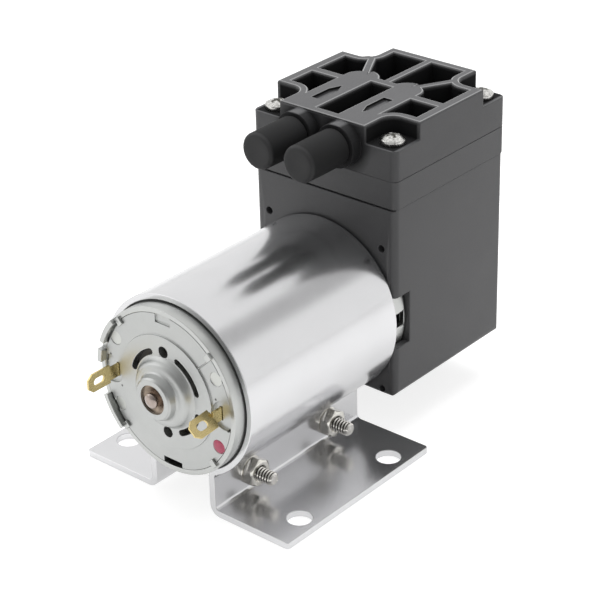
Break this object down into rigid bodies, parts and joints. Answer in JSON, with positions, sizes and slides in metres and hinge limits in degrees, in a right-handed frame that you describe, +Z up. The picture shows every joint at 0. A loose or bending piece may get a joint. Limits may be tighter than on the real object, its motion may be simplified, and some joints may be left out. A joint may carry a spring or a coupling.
{
  "type": "mini vacuum pump",
  "caption": "Diaphragm vacuum pump: box head with ribbed cover and two capped spigots, round motor held by an omega-shaped sheet bracket with two drilled feet.",
  "frame": {"origin": "centre of the four foot holes, on the plane of the feet's undersides", "axes": "+X to the right as seen from the motor's end, +Y along the motor axis towards the pump head, +Z up, away from the mounting surface"},
  "size_m": [0.0554, 0.0948, 0.0694],
  "materials": {
    "bracket_steel": "polished stainless sheet",
    "fastener_steel": "bright stainless",
    "can_steel": "satin zinc plate",
    "ferrite": "sintered, matt",
    "bronze": "sintered, oiled",
    "card_plastic": "phenolic card",
    "tag_brass": "stamped strip",
    "carbon": "pressed graphite",
    "screw_nickel": "bright nickel plate",
    "shaft_steel": "ground, oiled",
    "lamination": "stamped laminations",
    "copper": "enamelled wire and bar copper",
    "white_plastic": "moulded acetal",
    "head_plastic": "moulded, glass-filled, matt",
    "eccentric_zinc": "machined",
    "race_steel": "ground",
    "black_rubber": "moulded rubber",
    "cap_rubber": "soft moulded rubber",
    "red_paint": "a spot of paint"
  },
  "bodies": {
    "pump_body": {"clamp_bracket": "bracket_steel", "clamp_bolts": "fastener_steel", "clamp_washers": "fastener_steel", "clamp_nuts": "fastener_steel", "motor_can": "can_steel", "can_magnets": "ferrite", "magnet_clips": "fastener_steel", "front_bush": "bronze", "rear_bush": "bronze", "end_bell": "can_steel", "brush_card": "card_plastic", "brush_springs": "tag_brass", "brushes": "carbon", "terminals": "tag_brass", "motor_screws": "screw_nickel", "crankcase": "head_plastic", "rear_cover": "head_plastic", "rear_cover_screws": "screw_nickel", "diaphragm": "black_rubber", "valve_block": "head_plastic", "inlet_valve": "black_rubber", "outlet_valve": "black_rubber", "cover_seal": "black_rubber", "head_cover": "head_plastic", "cover_screws": "screw_nickel", "band_liner": "black_rubber", "polarity_dot": "red_paint"},
    "rotor": {"motor_shaft": "shaft_steel", "rotor_core": "lamination", "rotor_windings": "copper", "commutator": "copper", "shaft_sleeves": "white_plastic", "eccentric": "eccentric_zinc", "eccentric_screw": "shaft_steel", "bearing_inner_race": "race_steel", "bearing_balls": "race_steel"},
    "rod": {"bearing_outer_race": "race_steel", "connecting_rod": "white_plastic", "clamp_disc": "eccentric_zinc", "disc_screw": "screw_nickel"},
    "inlet_dust_cap": {"inlet_cap": "cap_rubber"},
    "outlet_dust_cap": {"outlet_cap": "cap_rubber"}
  },
  "joints": [
    {"name": "motor_spin", "type": "hinge", "parent": "pump_body", "child": "rotor", "pos_m": [0, 0, 0.02698], "axis": [0, 1, 0], "continuous": true},
    {"name": "rod_pivot", "type": "hinge", "parent": "rotor", "child": "rod", "pos_m": [0, 0.04175, 0.02858], "axis": [0, 1, 0], "continuous": true, "deforming": ["diaphragm"]},
    {"name": "inlet_cap_pull", "type": "slide", "parent": "pump_body", "child": "inlet_dust_cap", "axis": [0, -1, 0], "range_m": [0, 0.013]},
    {"name": "outlet_cap_pull", "type": "slide", "parent": "pump_body", "child": "outlet_dust_cap", "axis": [0, -1, 0], "range_m": [0, 0.013]}
  ],
  "couplings": [
    {"joint": "rod_pivot", "follows": "motor_spin", "ratio": -1}
  ]
}
